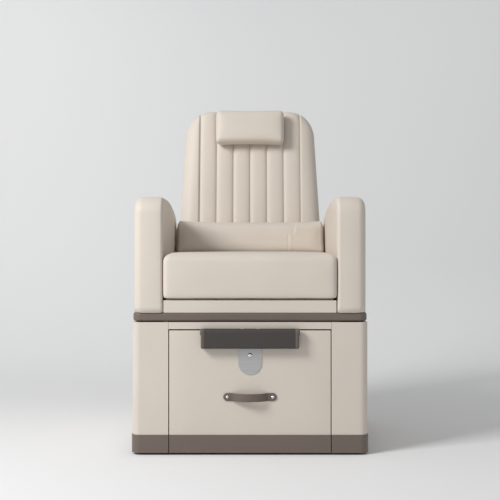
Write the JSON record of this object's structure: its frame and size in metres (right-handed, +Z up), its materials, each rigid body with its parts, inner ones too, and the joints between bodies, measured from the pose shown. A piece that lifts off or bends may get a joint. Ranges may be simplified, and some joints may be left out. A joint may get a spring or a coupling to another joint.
{
  "type": "pedicure chair",
  "caption": "Reclining salon chair with upholstered arms on a cabinet whose drawer holds a plumbed foot basin, with a folding footrest bar on its front.",
  "frame": {"origin": "middle of the footprint at floor level, halfway between the footrest's front and the top of the backrest's rear", "axes": "+X to the right as seen from the front, +Y to the rear, +Z up"},
  "size_m": [0.7854, 0.88, 1.2402],
  "materials": {
    "cream_leatherette": "smooth cream leatherette over foam",
    "cream_panel": "cream leatherette-faced board",
    "taupe_lacquer": "dark taupe satin lacquer on board",
    "raw_board": "plain birch plywood",
    "charcoal_pad": "charcoal polyurethane skin",
    "taupe_cap": "moulded taupe plastic",
    "taupe_leather": "taupe strap leather",
    "black_plastic": "black moulded plastic",
    "brushed_steel": "brushed stainless steel",
    "zinc_steel": "bright zinc plate",
    "chrome": "polished chrome",
    "brass": "plain brass",
    "white_acrylic": "glossy white acrylic",
    "pipe_plastic": "white waste pipe plastic",
    "grey_pipe": "grey waste pipe plastic"
  },
  "bodies": {
    "base": {"plinth_left": "taupe_lacquer", "plinth_right": "taupe_lacquer", "plinth_rear": "taupe_lacquer", "levelling_feet": "black_plastic", "bottom_board": "raw_board", "side_casing_left": "cream_panel", "side_casing_right": "cream_panel", "carcass_side_left": "raw_board", "carcass_side_right": "raw_board", "top_rail": "cream_panel", "rear_panel": "cream_panel", "service_plate": "brushed_steel", "water_inlets": "brass", "inlet_nuts": "brass", "waste_outlet": "grey_pipe", "platform_spacer": "black_plastic", "platform": "taupe_lacquer", "seat_rail": "cream_panel", "seat_deck": "raw_board", "seat_cushion": "cream_leatherette", "arm_cores": "raw_board", "arm_left": "cream_leatherette", "arm_right": "cream_leatherette", "arm_bolts": "zinc_steel", "recliner_brackets": "zinc_steel", "runner_cabinet_members": "zinc_steel"},
    "runner_middle": {"runner_middle_members": "zinc_steel"},
    "drawer": {"runner_drawer_members": "zinc_steel", "drawer_front": "cream_panel", "drawer_plinth": "taupe_lacquer", "drawer_sides": "raw_board", "drawer_back": "raw_board", "drawer_bottom": "raw_board", "basin": "white_acrylic", "waste_fitting": "chrome", "trap": "pipe_plastic", "tap_body": "chrome", "tap_nut": "brass", "strap_handle": "taupe_leather", "strap_screws": "chrome", "tongue_plate": "brushed_steel", "plate_bolts": "chrome"},
    "footrest": {"footrest_pad": "charcoal_pad", "footrest_caps": "taupe_cap", "footrest_shaft": "zinc_steel"},
    "drain_plug": {"drain_plug": "chrome"},
    "tap_spout": {"tap_spout": "chrome"},
    "tap_head": {"tap_head": "chrome"},
    "tap_lever": {"tap_lever": "chrome"},
    "backrest": {"back_cushion": "cream_leatherette", "back_board": "raw_board", "back_shell": "cream_panel", "back_leaves": "zinc_steel", "hinge_pins": "zinc_steel", "lumbar_pillow": "cream_leatherette", "pillow_strap": "taupe_leather"},
    "head_pillow": {"head_pillow": "cream_leatherette"},
    "strap_weight": {"strap_weight": "taupe_leather"}
  },
  "joints": [
    {"name": "runner_slide", "type": "slide", "parent": "base", "child": "runner_middle", "axis": [0, -1, 0], "range_m": [0, 0.225]},
    {"name": "drawer_slide", "type": "slide", "parent": "base", "child": "drawer", "axis": [0, -1, 0], "range_m": [0, 0.45]},
    {"name": "footrest_fold", "type": "hinge", "parent": "drawer", "child": "footrest", "pos_m": [0, -0.42861, 0.4055], "axis": [-1, 0, 0], "range_deg": [0, 90]},
    {"name": "plug_lift", "type": "slide", "parent": "drawer", "child": "drain_plug", "axis": [0, 0, 1], "range_m": [0, 0.008]},
    {"name": "spout_swivel", "type": "hinge", "parent": "drawer", "child": "tap_spout", "pos_m": [0, 0.17959, 0.3395], "axis": [0, 0, 1], "range_deg": [-55, 55]},
    {"name": "temperature_turn", "type": "hinge", "parent": "drawer", "child": "tap_head", "pos_m": [0, 0.17959, 0.3581], "axis": [0, 0, 1], "range_deg": [-45, 45]},
    {"name": "flow_lift", "type": "hinge", "parent": "tap_head", "child": "tap_lever", "pos_m": [0, 0.17959, 0.3837], "axis": [-1, 0, 0], "range_deg": [0, 25]},
    {"name": "recline", "type": "hinge", "parent": "base", "child": "backrest", "pos_m": [0, 0.22889, 0.52], "axis": [-1, 0, 0], "range_deg": [0, 30]},
    {"name": "head_pillow_drop", "type": "slide", "parent": "backrest", "child": "head_pillow", "axis": [0, -0.2147, -0.9767], "range_m": [0, 0.06]},
    {"name": "strap_weight_rise", "type": "slide", "parent": "backrest", "child": "strap_weight", "axis": [0, 0.2147, 0.9767], "range_m": [0, 0.06]}
  ],
  "couplings": [
    {"joint": "runner_slide", "follows": "drawer_slide", "ratio": 0.5},
    {"joint": "strap_weight_rise", "follows": "head_pillow_drop", "ratio": 1}
  ]
}
